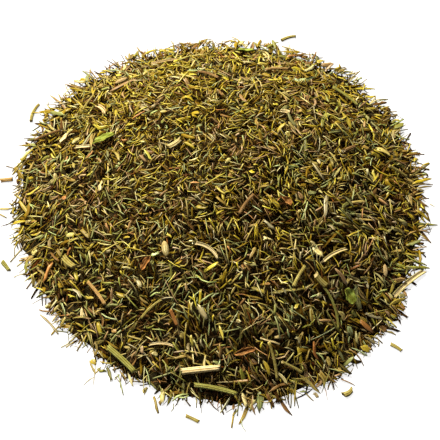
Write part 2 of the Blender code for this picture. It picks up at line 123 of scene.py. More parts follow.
class Finish:
    """A Principled material that is built up one node at a time."""

    def __init__(self, name, roughness=0.7):
        self.material = bpy.data.materials.new(name)
        self.material.use_nodes = True
        self.tree = self.material.node_tree
        self.shader = self.tree.nodes["Principled BSDF"]
        self.shader.inputs["Roughness"].default_value = roughness
        self.shader.inputs["Specular IOR Level"].default_value = 0.03

    def add(self, kind, settings, values, output=0):
        node = self.tree.nodes.new(kind)
        for key, setting in settings.items():
            if key == "stops":
                self.set_stops(node.color_ramp, setting)
            else:
                setattr(node, key, setting)
        pairs = values.items() if isinstance(values, dict) else enumerate(values)
        for key, value in pairs:
            if isinstance(value, Socket):
                self.tree.links.new(value.output, node.inputs[key])
            else:
                node.inputs[key].default_value = value
        return Socket(self, node.outputs[output])

    def set_stops(self, ramp, stops):
        while len(ramp.elements) < len(stops):
            ramp.elements.new(0.5)
        for element, (position, colour) in zip(ramp.elements, stops):
            element.position = position
            element.color = (*colour, 1.0)

    def ramp(self, factor, stops):
        return self.add("ShaderNodeValToRGB", {"stops": stops}, {"Fac": factor})

    def mix(self, factor, a, b, blend="MIX"):
        settings = {"data_type": "RGBA", "blend_type": blend, "clamp_factor": True}
        colours = [c if isinstance(c, Socket) else (*c, 1.0) for c in (a, b)]
        return self.add("ShaderNodeMix", settings, {0: factor, 6: colours[0], 7: colours[1]}, 2)

    def brighten(self, colour, factor):
        grey = self.add("ShaderNodeCombineColor", {}, (factor, factor, factor))
        return self.mix(1.0, colour, grey, "MULTIPLY")

    def sink(self, colour, factor):
        """Darken a colour, and turn it browner as it gets darker."""
        factors = (factor, factor ** SINK_GREEN, factor ** SINK_BLUE)
        tint = self.add("ShaderNodeCombineColor", {}, factors)
        return self.mix(1.0, colour, tint, "MULTIPLY")

    def noise(self, vector, scale, detail=2.0, roughness=0.5):
        values = {"Vector": vector, "Scale": scale, "Detail": detail, "Roughness": roughness}
        return self.add("ShaderNodeTexNoise", {}, values)

    def chance(self, number):
        """A random value from 0 to 1 that stays the same wherever the number does."""
        return self.add("ShaderNodeTexWhiteNoise", {"noise_dimensions": "1D"}, {"W": number})

    def place(self, x, y, z=0.0):
        return self.add("ShaderNodeCombineXYZ", {}, (x, y, z))

    def parts_of(self, vector):
        node = self.tree.nodes.new("ShaderNodeSeparateXYZ")
        self.tree.links.new(vector.output, node.inputs[0])
        return [Socket(self, out) for out in node.outputs]

    def wear(self, colour, roughness=None, height=None, depth=0.0, gloss=None):
        """Connect colour, roughness, a height in metres and a gloss to the shader."""
        self.tree.links.new(colour.output, self.shader.inputs["Base Color"])
        if gloss is not None:
            self.tree.links.new(gloss.output, self.shader.inputs["Coat Weight"])
            self.shader.inputs["Coat Roughness"].default_value = 0.42
        if roughness is not None:
            self.tree.links.new(roughness.output, self.shader.inputs["Roughness"])
        if height is not None:
            bump = self.add("ShaderNodeBump", {}, {"Height": height, "Distance": depth})
            self.tree.links.new(bump.output, self.shader.inputs["Normal"])
        return self.material

# %% [markdown]
# ## Camera
# The heap was photographed from above its near side, and a centimetre in the middle of it
# fills 49.4 of the picture's 440 pixels. The steepness is judged from the outline: a round
# heap looks nearly round from 61 degrees. The near threads look about a fifth larger than
# the far ones, which puts the camera 240 mm away, and size and distance give the lens.

# %% Place the camera
PICTURE_SIDE = 440
PIXELS_PER_METRE = 4940.0
CAMERA_RISE = math.radians(61.0)
CAMERA_DISTANCE = 240 * MM
LOOK_AT = Vector((1.65, -6.25, 8.0)) * MM
SENSOR_WIDTH = 36.0

camera = bpy.data.objects.new("camera", bpy.data.cameras.new("camera"))
bpy.context.scene.collection.objects.link(camera)
bpy.context.scene.camera = camera
towards_camera = Vector((0.0, -math.cos(CAMERA_RISE), math.sin(CAMERA_RISE)))
camera.location = LOOK_AT + towards_camera * CAMERA_DISTANCE
camera.rotation_euler = towards_camera.to_track_quat("Z", "Y").to_euler()
camera.data.sensor_width = SENSOR_WIDTH
camera.data.lens = SENSOR_WIDTH * PIXELS_PER_METRE * CAMERA_DISTANCE / PICTURE_SIDE
camera.data.clip_start = 0.01
print(f"lens {camera.data.lens:.1f} mm")

# %% [markdown]
# ## Light and floor
# The picture is bright and even: a white table with hardly a shadow, and a heap whose far
# side is lighter than its near side. A light behind the heap, up on the left, does that,
# and it rakes across the near side, so that each thread throws its own small shadow. A
# broader one nearly overhead lights the crown, and a weak sky opens the shadows a little.
# The table glows by itself, so that it stays white without being burnt out.

# %% Light the table
bpy.context.scene.view_settings.view_transform = "Standard"


def add_area_light(name, watts, size, place, colour):
    lamp = bpy.data.lights.new(name, "AREA")
    lamp.energy = watts
    lamp.size = size
    lamp.color = colour
    light = bpy.data.objects.new(name, lamp)
    bpy.context.scene.collection.objects.link(light)
    light.location = place
    light.rotation_euler = Vector(place).to_track_quat("Z", "Y").to_euler()
    return light


add_area_light("back_light", 16.0, 0.14, (-0.30, 0.34, 0.45), (1.0, 0.93, 0.76))
add_area_light("top_light", 12.5, 0.20, (-0.14, 0.18, 0.58), (1.0, 0.98, 0.93))

world = bpy.data.worlds.new("pale_sky")
bpy.context.scene.world = world
world.use_nodes = True
world.node_tree.nodes["Background"].inputs["Color"].default_value = (1.0, 0.93, 0.83, 1.0)
world.node_tree.nodes["Background"].inputs["Strength"].default_value = 0.18

FLOOR_SIDE = 3.0
floor_mesh = bpy.data.meshes.new("floor")
bm = bmesh.new()
bmesh.ops.create_grid(bm, x_segments=1, y_segments=1, size=FLOOR_SIDE / 2)
bm.to_mesh(floor_mesh)
bm.free()
floor = bpy.data.objects.new("floor", floor_mesh)
bpy.context.scene.collection.objects.link(floor)
floor_finish = Finish("white_table", 0.85)
floor_finish.shader.inputs["Base Color"].default_value = (0.12, 0.12, 0.12, 1.0)
floor_finish.shader.inputs["Emission Color"].default_value = (1.0, 0.99, 0.98, 1.0)
floor_finish.shader.inputs["Emission Strength"].default_value = 0.84
floor.data.materials.append(floor_finish.material)

# %% [markdown]
# ## The form of the heap
# The threads must lie where the solid mound is, so its form is read from it. Rays fall on
# it from above, one for each point of a square grid. Blurring the heights rubs out the
# mound's own coarse threads and leaves the even slope under them. The same blur, on a mask
# that is 1 on the mound and 0 off it, gives a soft edge to scatter the outermost threads by.

# %% Read the mound's form
GRID_STEP = 0.25 * MM
GRID_HALF = 53 * MM
FORM_BLUR = 2.0 * MM
EDGE_LEVEL = 0.54
EDGE_SPILL = 0.38
SPILL_HEADING = math.radians(45.0)
HOLLOW_SIZE = 1.6 * MM
HOLLOW_DEPTH = 0.30 * MM
LOWEST_EDGE = 1.5 * MM

grid_points = np.arange(-GRID_HALF, GRID_HALF, GRID_STEP)
grid_side = len(grid_points)


def to_cell(metres):
    """Grid index of a coordinate."""
    cell = np.rint((np.asarray(metres) + GRID_HALF) / GRID_STEP).astype(int)
    return np.clip(cell, 0, grid_side - 1)


def blurred(field, reach):
    """Average over a square, three times, which is close to a Gaussian blur."""
    half = max(1, int(reach / GRID_STEP / 1.7))
    for _ in range(3):
        for axis in (0, 1):
            padded = np.concatenate([np.zeros((grid_side, 1)), np.cumsum(field, axis=1)], axis=1)
            low = np.clip(np.arange(grid_side) - half, 0, grid_side)
            high = np.clip(np.arange(grid_side) + half + 1, 0, grid_side)
            field = ((padded[:, high] - padded[:, low]) / (2 * half + 1)).T
    return field


mound_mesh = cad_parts[MOUND].data
mound_tree = BVHTree.FromPolygons(
    [vert.co.copy() for vert in mound_mesh.vertices],
    [tuple(face.vertices) for face in mound_mesh.polygons],
)
RAY_SKIP = 2
ray_start = solid_box[1][2] + 10 * MM
coarse = np.zeros((grid_side, grid_side))
for row in range(0, grid_side, RAY_SKIP):
    for column in range(0, grid_side, RAY_SKIP):
        origin = Vector((grid_points[column], grid_points[row], ray_start))
        hit = mound_tree.ray_cast(origin, Vector((0.0, 0.0, -1.0)))[0]
        if hit:
            coarse[row:row + RAY_SKIP, column:column + RAY_SKIP] = hit.z

on_mound = (coarse > 0.0).astype(float)
edge_fade = blurred(on_mound, FORM_BLUR)
angle = np.arctan2(grid_points[:, None], grid_points[None, :])
spill = (0.5 + 0.5 * np.cos(angle - SPILL_HEADING)) ** 1.5
edge_level = EDGE_LEVEL - EDGE_SPILL * spill
inside = edge_fade > edge_level
form = np.where(inside, blurred(coarse * on_mound, FORM_BLUR) / np.maximum(edge_fade, 1e-6), 0.0)
hollows = blurred(np.random.default_rng(8).normal(0.0, 1.0, form.shape), HOLLOW_SIZE)
form = form + hollows / hollows.std() * HOLLOW_DEPTH * np.clip(form / (4 * MM), 0, 1)
form = np.where(inside, np.maximum(form, LOWEST_EDGE), 0.0)
print(f"form: {form.max() / MM:.1f} mm high, covers {inside.sum() * GRID_STEP ** 2 / 1e-6:.0f} mm2")

# %% [markdown]
# ## Where the larger pieces lie
# Each stalk, flake and seed is a solid of its own. The direction in which its points are
# spread widest is its length, and the narrowest one, turned upwards, is its upper side. A
# parabola fitted along the length says how far the piece is bent. The fine piece that
# replaces the solid is then laid in the same place.

# %% Measure the loose solids
class Lie:
    """Place, directions and size of a loose piece, read from its solid."""

    def __init__(self, name):
        points = np.array([vert.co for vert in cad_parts[name].data.vertices])
        points = np.unique(points.round(7), axis=0)
        middle = (points.min(axis=0) + points.max(axis=0)) / 2
        spread = np.linalg.svd(points - points.mean(axis=0), full_matrices=False)[2]
        along, across, up = spread
        if name.startswith(("straw", "cream", "green", "brown", "stray")):
            up = np.cross(along, np.cross((0.0, 0.0, 1.0), along))
            up /= np.linalg.norm(up)
        up = up if up[2] > 0 else -up
        across = np.cross(up, along)
        local = (points - middle) @ np.array([along, across, up]).T
        shift = (local.max(axis=0) + local.min(axis=0)) / 2
        self.middle = middle + shift @ np.array([along, across, up])
        local -= shift
        self.along, self.across, self.up = along, across, up
        self.length, self.width, self.thickness = local.max(axis=0) - local.min(axis=0)
        curve = np.polyfit(local[:, 0], local[:, 1], 2)
        self.bend = -curve[0] * (self.length / 2) ** 2
        self.width = np.ptp(local[:, 1] - np.polyval(curve, local[:, 0]))

    def matrix(self):
        turn = Matrix(np.array([self.along, self.across, self.up]).T.tolist()).to_4x4()
        return Matrix.Translation(self.middle.tolist()) @ turn


lies = {name: Lie(name) for name in loose_nodes}
longest = max(lies, key=lambda name: lies[name].length)
print(f"longest loose piece: {longest}, {lies[longest].length / MM:.1f} mm")

# %% [markdown]
# ## Laying bits one on another
# A heap looks right when every bit lies on the ones below it. Each falls flat onto a field
# of heights, and a stiff rod comes to rest on two points, one on each side of its middle, so
# of all the lines through such a pair the highest is where it stays. The field is then
# raised along it for the next ones. Bits are laid in rounds, one to a square of a shifted
# grid, which spreads them evenly and lets numpy work out a whole round at once.

# %% Drop bits onto a field of heights
REST_SAMPLES = 13
BURY_SAMPLES = 17
STEEPEST = 1.1
HEADROOM = 0.1 * MM
BIT = np.dtype([(key, float) for key in (
    "x", "y", "heading", "length", "half_width", "half_depth", "height", "pitch", "scrap",
)])


class Pile:
    """What lies on the table so far, as the height of its top over each cell."""

    def __init__(self, ground):
        self.top = ground.copy()
        self.roof = np.full_like(ground, np.inf)
        self.laid = []

    def track(self, bits, samples, side=0.0):
        """Points along each bit, as steps from its middle and as cells of the field."""
        s = np.linspace(-0.5, 0.5, samples) * bits["length"][:, None]
        off = side * bits["half_width"][:, None]
        cos, sin = np.cos(bits["heading"])[:, None], np.sin(bits["heading"])[:, None]
        rows = to_cell(bits["y"][:, None] + s * sin + off * cos)
        columns = to_cell(bits["x"][:, None] + s * cos - off * sin)
        return s, rows, columns

    def rest(self, bits):
        """Find the height and pitch at which each bit comes to rest."""
        s, rows, columns = self.track(bits, REST_SAMPLES)
        h = self.top[rows, columns] + bits["half_depth"][:, None]
        half = REST_SAMPLES // 2
        left_s, left_h = s[:, :half, None], h[:, :half, None]
        right_s, right_h = s[:, None, half + 1:], h[:, None, half + 1:]
        lines = ((left_h * right_s - right_h * left_s) / (right_s - left_s)).reshape(len(bits), -1)
        pitches = ((right_h - left_h) / (right_s - left_s)).reshape(len(bits), -1)
        pick = lines.argmax(axis=1)[:, None]
        height = np.take_along_axis(lines, pick, axis=1)[:, 0]
        pitch = np.take_along_axis(pitches, pick, axis=1)[:, 0]
        middle = h[:, half]
        ahead = ((h[:, half + 1:] - middle[:, None]) / s[:, half + 1:]).max(axis=1)
        behind = ((h[:, :half] - middle[:, None]) / s[:, :half]).min(axis=1)
        tips = middle > height
        bits["height"] = np.where(tips, middle, height)
        bits["pitch"] = np.clip(np.where(tips, (ahead + behind) / 2, pitch), -STEEPEST, STEEPEST)

    def drop(self, bits, allow):
        """Lay the bits that come to rest low enough and under no roof. Returns how many."""
        self.rest(bits)
        s, rows, columns = self.track(bits, REST_SAMPLES)
        upper = bits["height"][:, None] + bits["pitch"][:, None] * s + bits["half_depth"][:, None]
        fits = (upper < self.roof[rows, columns] + HEADROOM).all(axis=1)
        bits = bits[fits & (bits["height"] < allow)]
        for side in (-0.7, 0.0, 0.7):
            s, rows, columns = self.track(bits, BURY_SAMPLES, side)
            thick = bits["half_depth"][:, None] * (1.0 - abs(side) / 2)
            top = bits["height"][:, None] + bits["pitch"][:, None] * s + thick
            np.maximum.at(self.top, (rows, columns), top)
        self.laid.append(bits)
        return len(bits)

# %% [markdown]
# ## Filling the heap
# Only the outer few millimetres can be seen, even through the gaps, so the bits start from
# a hidden core that follows the form at that depth. Most are thread, and some are scraps,
# flat bits of a leaf where threads branch, which are more common at the foot. A square
# takes no more bits once they reach the form. Some lie combed alike with their neighbours,
# as they slid down together, and at the foot many fan outwards.

# %% Draw the bits of one round
SQUARE = 3.4 * MM
BIT_LENGTH = 2.3 * MM
BIT_LENGTH_SPREAD = 0.42
BIT_LENGTH_RANGE = (0.6 * MM, 6.4 * MM)
THREAD_RADIUS = 0.132 * MM
THREAD_RADIUS_SPREAD = 0.30
THREAD_RADIUS_RANGE = (0.075 * MM, 0.34 * MM)
SCRAP_SHARE = 0.07
SCRAP_SHARE_AT_FOOT = 0.26
SCRAP_WIDER = 1.9
SCRAP_DEPTH = 0.09 * MM
SCRAP_SHORTER = 1.0
FOOT_COARSER = 0.60
FAN_SPREAD = 0.5
FAN_SHARE = 0.55
HEAP_RADIUS = 44 * MM
COMBED_SHARE = 0.45
COMB_SIZE = 2.5 * MM
COMB_SPREAD = 0.25
STRAY_CHANCE = 0.5
draw = np.random.default_rng(52)


def smooth_field(random, size):
    """Random values that change smoothly from place to place, with a spread of 1."""
    field = blurred(random.normal(0.0, 1.0, form.shape), size)
    return field / field.std()


comb = np.arctan2(smooth_field(draw, COMB_SIZE), smooth_field(draw, COMB_SIZE))


def draw_bits(x, y):
    """Bits of random kind, size and heading, coarser towards the foot, where big ones roll."""
    count = len(x)
    bits = np.zeros(count, BIT)
    outward = np.hypot(x, y) / HEAP_RADIUS
    grow = 1.0 + FOOT_COARSER * (outward - 0.5)
    length = BIT_LENGTH * grow * np.exp(draw.normal(0.0, BIT_LENGTH_SPREAD, count))
    radius = THREAD_RADIUS * np.sqrt(grow) * np.exp(draw.normal(0.0, THREAD_RADIUS_SPREAD, count))
    at_foot = np.clip(outward, 0.0, 1.0) ** 4
    scrap_share = SCRAP_SHARE + (SCRAP_SHARE_AT_FOOT - SCRAP_SHARE) * at_foot
    scrap = draw.uniform(0, 1, count) < scrap_share
    length = np.clip(length, *BIT_LENGTH_RANGE)
    radius = np.clip(radius, *THREAD_RADIUS_RANGE)
    bits["x"], bits["y"], bits["scrap"] = x, y, scrap
    bits["length"] = np.where(scrap, length * SCRAP_SHORTER, length)
    bits["half_width"] = np.where(scrap, radius * SCRAP_WIDER, radius)
    bits["half_depth"] = np.where(scrap, SCRAP_DEPTH, radius)
    combed = comb[to_cell(y), to_cell(x)] + draw.normal(0, COMB_SPREAD, count)
    is_combed = draw.uniform(0, 1, count) < COMBED_SHARE
    bits["heading"] = np.where(is_combed, combed, draw.uniform(0, math.pi, count))
    fanned = draw.uniform(0, 1, count) < FAN_SHARE * at_foot
    fan = np.arctan2(y, x) + draw.normal(0, FAN_SPREAD, count)
    bits["heading"] = np.where(fanned, fan, bits["heading"])
    return bits


def one_round(pile, lift, share=1.0):
    """Drop one bit in each square of a grid that is shifted at random."""
    corners = np.arange(-GRID_HALF, GRID_HALF, SQUARE)
    x, y = (v.ravel() for v in np.meshgrid(corners, corners))
    x = x + draw.uniform(0, SQUARE) + draw.uniform(-0.45, 0.45, len(x)) * SQUARE
    y = y + draw.uniform(0, SQUARE) + draw.uniform(-0.45, 0.45, len(y)) * SQUARE
    cells = to_cell(y), to_cell(x)
    stray = STRAY_CHANCE * (edge_fade[cells] / edge_level[cells]) ** 2
    keep = draw.uniform(0, 1, len(x)) < np.where(inside[cells], 1.0, stray) * share
    bits = draw_bits(x[keep], y[keep])
    cells = to_cell(bits["y"]), to_cell(bits["x"])
    on_heap = form[cells] + lift + draw.normal(0, 0.12 * MM, len(bits))
    on_table = bits["half_depth"] + 0.3 * MM
    return pile.drop(bits, np.where(inside[cells], on_heap, on_table))

# %% [markdown]
# Under a stalk or a flake the bits stop at its underside. Then the piece joins the field,
# and a last sprinkling falls beside it and over its ends.

# %% Fill the heap with bits
COVER_DEPTH = 3.2 * MM
COVER_AT_FOOT = 0.9 * MM
COVER_GROWTH = 0.45
CORE_BACK = 1.2 * MM
ROUNDS = 110
SPRINKLE_ROUNDS = 4
SPRINKLE_LIFT = 0.45 * MM


def cells_under(lie):
    """Cells that a loose piece covers, and the height of its middle line over each."""
    reach = (lie.length + lie.width) / 2 + GRID_STEP
    rows = np.arange(to_cell(lie.middle[1] - reach), to_cell(lie.middle[1] + reach) + 1)
    columns = np.arange(to_cell(lie.middle[0] - reach), to_cell(lie.middle[0] + reach) + 1)
    rows, columns = (v.ravel() for v in np.meshgrid(rows, columns))
    dx = grid_points[columns] - lie.middle[0]
    dy = grid_points[rows] - lie.middle[1]
    flat = math.hypot(lie.along[0], lie.along[1])
    s = (dx * lie.along[0] + dy * lie.along[1]) / flat
    d = np.abs(dx * lie.along[1] - dy * lie.along[0]) / flat
    on = (np.abs(s) < lie.length * flat / 2) & (d < lie.width / 2)
    return rows[on], columns[on], lie.middle[2] + s[on] * lie.along[2] / flat


cover = np.clip(COVER_AT_FOOT + COVER_GROWTH * form, 0.0, COVER_DEPTH)
well_inside = blurred(inside.astype(float), CORE_BACK) > 0.75
core_top = np.where(well_inside, np.maximum(form - cover, 0.0), 0.0)
pile = Pile(core_top)
for lie in lies.values():
    rows, columns, axis = cells_under(lie)
    pile.roof[rows, columns] = axis - lie.thickness / 2

for index in range(ROUNDS):
    laid = one_round(pile, 0.0)
    if index % 20 == 0:
        print(f"round {index}: {laid} bits laid")

for lie in lies.values():
    rows, columns, axis = cells_under(lie)
    top = axis + lie.thickness / 2
    pile.top[rows, columns] = np.maximum(pile.top[rows, columns], top)
    pile.roof[rows, columns] = top + HEADROOM
for index in range(SPRINKLE_ROUNDS):
    one_round(pile, SPRINKLE_LIFT, 0.8)

bits = np.concatenate(pile.laid)
print(f"{len(bits)} bits, {int(bits['scrap'].sum())} of them scraps")

# %% [markdown]
# ## One thread, one scrap, and thousands of copies
# A thread is a thin rod with four sides, cut across in two places so that it can bend. A
# scrap is a flat box, cut so that it can fold along its middle and narrow to its ends. That
# is enough at this size. Their UVs run from side to side in u and from end to end in v.

# %% Shape a thread and a scrap
THREAD_SIDES = 4
THREAD_CUTS = 2
SCRAP_CUTS = (3, 1)


def cut_across(bm, axis, cuts):
    """Cut every edge that runs the whole way along one axis."""
    ends = [vert.co[axis] for vert in bm.verts]
    span = max(ends) - min(ends)
    edges = [e for e in bm.edges if abs(e.verts[0].co[axis] - e.verts[1].co[axis]) > 0.9 * span]
    bmesh.ops.subdivide_edges(bm, edges=edges, cuts=cuts, use_grid_fill=True)


def add_uvs(bm, place):
    """Write a UV for every corner, and shade the faces smooth."""
    layer = bm.loops.layers.uv.new("OFBake")
    bm.normal_update()
    for face in bm.faces:
        face.smooth = True
        for loop in face.loops:
            loop[layer].uv = place(loop.vert.co, abs(face.normal.x) > 0.9)
    return bm


def thread_uv(co, on_end):
    turn = abs(math.atan2(co.y, co.z)) / math.pi
    if on_end:
        return 0.3 + 0.4 * turn, 0.5 + 0.9 * co.x + 0.012 * co.y
    return turn, 0.5 + 0.94 * co.x


def scrap_uv(co, on_end):
    u = 0.5 + 0.46 * co.y + 0.03 * math.copysign(co.z, co.y)
    return u, 0.5 + 0.92 * co.x + 0.02 * math.copysign(co.z, co.x)


def thread_pattern():
    bm = bmesh.new()
    bmesh.ops.create_cone(
        bm, cap_ends=True, segments=THREAD_SIDES, radius1=1.0, radius2=1.0, depth=1.0,
    )
    bmesh.ops.rotate(bm, verts=bm.verts[:], matrix=Matrix.Rotation(math.pi / 2, 3, "Y"))
    cut_across(bm, 0, THREAD_CUTS)
    return add_uvs(bm, thread_uv)


def scrap_pattern():
    bm = bmesh.new()
    bmesh.ops.create_cube(bm, size=2.0)
    bmesh.ops.scale(bm, verts=bm.verts[:], vec=(0.5, 1.0, 1.0))
    cut_across(bm, 0, SCRAP_CUTS[0])
    cut_across(bm, 1, SCRAP_CUTS[1])
    return add_uvs(bm, scrap_uv)


for pattern in (thread_pattern, scrap_pattern):
    bm = pattern()
    print(pattern.__name__, "has", len(bm.faces), "faces")
    bm.free()

# %% [markdown]
# Duplicating a pattern inside its bmesh keeps the faces and UVs of each copy, and doubling
# what is there takes only a dozen steps. The copies all lie in one place at first. The
# points of each are then moved as whole arrays: bent, kinked, tapered, flattened, turned
# about their own length and carried to where the bit came to rest.

# %% Copy a pattern and dress each copy
TINTS = 64
RING_WOBBLE = 0.15
END_SIZES = (0.40, 1.0)
SCRAP_END_SIZES = (0.08, 0.75)
KINK = 0.22
BOW = 0.06
CURLY_BOW = 0.20
CURLY_SHARE = 0.30
SAG = 0.05
SCRAP_FOLD = 0.45
SCRAP_NOTCH = 0.12
TABLE_CLEAR = 0.03 * MM


def copy_pattern(bm, count):
    """Repeat everything in a bmesh, by doubling, until there are count copies."""
    one = [len(bm.verts), len(bm.edges), len(bm.faces)]
    made = 1
    while made < count:
        more = min(made, count - made)
        geometry = []
        for sequence, size in zip((bm.verts, bm.edges, bm.faces), one):
            sequence.ensure_lookup_table()
            geometry += sequence[:more * size]
        bmesh.ops.duplicate(bm, geom=geometry)
        made += more


def dressed_points(base, bits, random):
    """Where the points of each copy go."""
    count = len(bits)
    column = {key: bits[key][:, None] for key in BIT.names}
    stations, ring_of = np.unique(base[:, 0].round(4), return_inverse=True)
    is_scrap = bits["scrap"][0] > 0
    ring_size = 1.0 + random.normal(0, RING_WOBBLE, (count, len(stations)))
    end_sizes = SCRAP_END_SIZES if is_scrap else END_SIZES
    ring_size[:, 0] *= random.uniform(*end_sizes, count)
    ring_size[:, -1] *= random.uniform(*end_sizes, count)
    size = ring_size.clip(0.08, 1.4)[:, ring_of]
    wide = base[:, 1] * column["half_width"] * size
    deep = base[:, 2] * column["half_depth"] * (1.0 if is_scrap else size)
    step = base[:, 0] * column["length"]
    if is_scrap:
        fold = random.normal(0, SCRAP_FOLD, (count, 1)).clip(-0.8, 0.8)
        notch = random.normal(0, SCRAP_NOTCH, (count, 2))[:, (base[:, 0] > 0).astype(int)]
        deep = deep + fold * np.abs(wide)
        outer = np.sign(base[:, 0]) * (np.abs(base[:, 0]) > 0.49)
        step = step + notch * outer * (np.abs(base[:, 1]) - 0.5) * column["length"]
        roll = random.normal(0, 0.35, (count, 1))
    else:
        deep = deep * random.uniform(0.6, 1.0, (count, 1))
        roll = random.uniform(0, math.pi, (count, 1))
    side = wide * np.cos(roll) - deep * np.sin(roll)
    rise = wide * np.sin(roll) + deep * np.cos(roll)
    is_curly = random.uniform(0, 1, (count, 1)) < CURLY_SHARE
    bow = random.normal(0, 1, (count, 1)) * np.where(is_curly, CURLY_BOW, BOW)
    sag = np.abs(random.normal(0, SAG, (count, 1)))
    parabola = 0.33 - 2.0 * base[:, 0] ** 2
    kinks = random.normal(0, KINK, (count, len(stations)))[:, ring_of] * column["half_width"]
    side = side + bow * parabola * column["length"] + kinks
    rise = rise + sag * parabola * column["length"]
    tilt, heading = np.arctan(column["pitch"]), column["heading"]
    flat_step = step * np.cos(tilt) - rise * np.sin(tilt)
    x = column["x"] + flat_step * np.cos(heading) - side * np.sin(heading)
    y = column["y"] + flat_step * np.sin(heading) + side * np.cos(heading)
    z = column["height"] + step * np.sin(tilt) + rise * np.cos(tilt)
    z = z + np.maximum(0.0, TABLE_CLEAR - z.min(axis=1, keepdims=True))
    return np.stack([x, y, z], axis=2)


def make_bits(name, pattern, bits, tints, finish, slot, random):
    """One piece of many bits. Each has one of the finish's tints, as a step of u."""
    bm = pattern()
    base = np.array([vert.co for vert in bm.verts])
    copy_pattern(bm, len(bits))
    mesh = bpy.data.meshes.new(name)
    bm.to_mesh(mesh)
    bm.free()
    mesh.vertices.foreach_set("co", dressed_points(base, bits, random).ravel())
    layer = mesh.uv_layers["OFBake"].data
    uvs = np.empty(len(mesh.loops) * 2)
    layer.foreach_get("uv", uvs)
    uvs = uvs.reshape(len(bits), -1, 2)
    uvs[:, :, 0] = (tints[:, None] + 0.06 + 0.88 * uvs[:, :, 0]) / TINTS
    layer.foreach_set("uv", uvs.ravel())
    mesh.update()
    mesh.materials.append(finish)
    piece = bpy.data.objects.new(name, mesh)
    bpy.context.scene.collection.objects.link(piece)
    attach(piece, "root")
    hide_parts(MOUND)
    print(f"{name}: {len(bits)} bits")

# %% [markdown]
# ## Finish of the bits
# Dried dill is not one green. Each thread dried on its own, so next to an olive one lies a yellow,
# a grey-green, a brown. A bit's UV map says which of 64 tints it has, in whole steps of u, and runs
# across it within a step and along it in v. The tints go from dark to light, and each has its own
# hue between three colours; deep bits are given the dark tints, which is painted shade. Patches,
# fibres, paler broken ends and a groove along the middle lie over that, and the groove is painted
# darker, which is painted shade.

# %% Finish of a family of bits
def bit_finish(name, one, two, three, seed, roughness=0.65):
    finish = Finish(name, roughness)
    uv = finish.add("ShaderNodeUVMap", {"uv_map": "OFBake"}, {})
    u, v, _ = finish.parts_of(uv)
    band = (u * TINTS).floor()
    across = (u * TINTS).fraction()
    tone = band / TINTS
    colour = finish.ramp(finish.chance(band + seed), [(0.0, one), (0.5, two), (1.0, three)])
    patches = finish.noise(finish.place(band * 3.7 + across * 0.8, v * 2.6, seed), 1.0, 3.0, 0.6)
    fibres = finish.noise(finish.place(across * 9.0 + band * 11.0, v * 1.6, seed), 1.0, 2.0)
    off_middle = (across - 0.5) * (across - 0.5) * 4.0
    # The groove darkens the middle of some bits, which is painted shade; as a bump it is the real
    # groove.
    groove_and_shade = (1.0 - off_middle.between(0.0, 0.12)) * finish.chance(band * 1.7 + seed)
    ends = (v - 0.5) * (v - 0.5) * 4.0
    # The brightness carries painted shade: the tone, which is dark for deep bits, and the groove.
    brightness = (0.12 + tone * 1.5) * (0.60 + patches * 0.8) * (0.76 + fibres * 0.48)
    brightness = brightness * (1.0 - groove_and_shade * 0.55)
    colour = finish.mix(ends.between(0.84, 1.0) * 0.4, colour, (0.26, 0.19, 0.08))
    colour = finish.sink(colour, brightness)
    rough = patches * 0.25 + (roughness - 0.12)
    gloss = (tone - 0.25).between(0.0, 0.6) * 0.5
    return finish.wear(colour, rough, fibres - groove_and_shade * 0.6, 0.06 * MM, gloss)

# %% [markdown]
# ## Families of bits
# The bits aren't evenly mixed: there are patches of each family. The far side is also made
# yellower, and the near side greyer and browner, which is painted light: it stands for the warm
# light from behind that falls on the far side. Every bit is dealt to a family by chance, with odds
# that change smoothly over the heap. Bits that lie deep get the darker tints, which is painted
# shade for the dark of the gaps between the bits over them.

# %% Deal the bits to families
GOLDEN = (0.165, 0.117, 0.004), (0.158, 0.120, 0.007), (0.148, 0.119, 0.014)
OLIVE = (0.160, 0.116, 0.008), (0.155, 0.120, 0.018), (0.145, 0.120, 0.040)
MOSS = (0.088, 0.083, 0.009), (0.092, 0.095, 0.020), (0.110, 0.115, 0.045)
KHAKI = (0.165, 0.121, 0.025), (0.158, 0.125, 0.043), (0.150, 0.127, 0.066)
UMBER = (0.110, 0.060, 0.012), (0.130, 0.077, 0.025), (0.140, 0.090, 0.042)
STRAW = (0.220, 0.170, 0.040), (0.240, 0.190, 0.065), (0.270, 0.220, 0.105)
RUST = (0.160, 0.065, 0.012), (0.180, 0.080, 0.022), (0.170, 0.090, 0.030)
# Name, slot, share on the far side, share on the near side, and three colours. The change from the
# far share to the near share is painted light.
FAMILIES = [
    ("golden", "olive_leaf", 0.52, 0.08, GOLDEN),
    ("olive", "olive_leaf", 0.12, 0.24, OLIVE),
    ("moss", "green_leaf", 0.14, 0.24, MOSS),
    ("khaki", "olive_leaf", 0.10, 0.26, KHAKI),
    ("umber", "brown_stalk", 0.08, 0.13, UMBER),
    ("straw", "straw_stalk", 0.03, 0.03, STRAW),
    ("rust", "rust_flake", 0.01, 0.02, RUST),
]
PATCH_SIZE = 2.6 * MM
PATCH_STRENGTH = 0.45
FORK_SHARE = 0.14
# Depths over which the deep bits get darker tints as painted shade.
DEPTH_SHADE_REACH = 0.8 * MM
DEPTH_SHADE_FROM = -0.15 * MM
DEPTH_SHADE_TO = 0.75 * MM
deal = np.random.default_rng(77)


def family_of(bits):
    """Deal each bit to a family, by odds that depend on its place. The yellower odds on the far
    side are painted light.
    """
    far_light_share = np.clip(0.5 + 0.6 * bits["y"] / HEAP_RADIUS, 0.0, 1.0)[:, None]
    far = np.array([family[2] for family in FAMILIES])
    near = np.array([family[3] for family in FAMILIES])
    odds = far * far_light_share + near * (1.0 - far_light_share)
    cells = to_cell(bits["y"]), to_cell(bits["x"])
    for column in range(len(FAMILIES)):
        odds[:, column] *= np.exp(PATCH_STRENGTH * smooth_field(deal, PATCH_SIZE)[cells])
    totals = np.cumsum(odds, axis=1)
    throw = deal.uniform(0, 1, len(bits)) * totals[:, -1]
    return (throw[:, None] > totals).sum(axis=1)


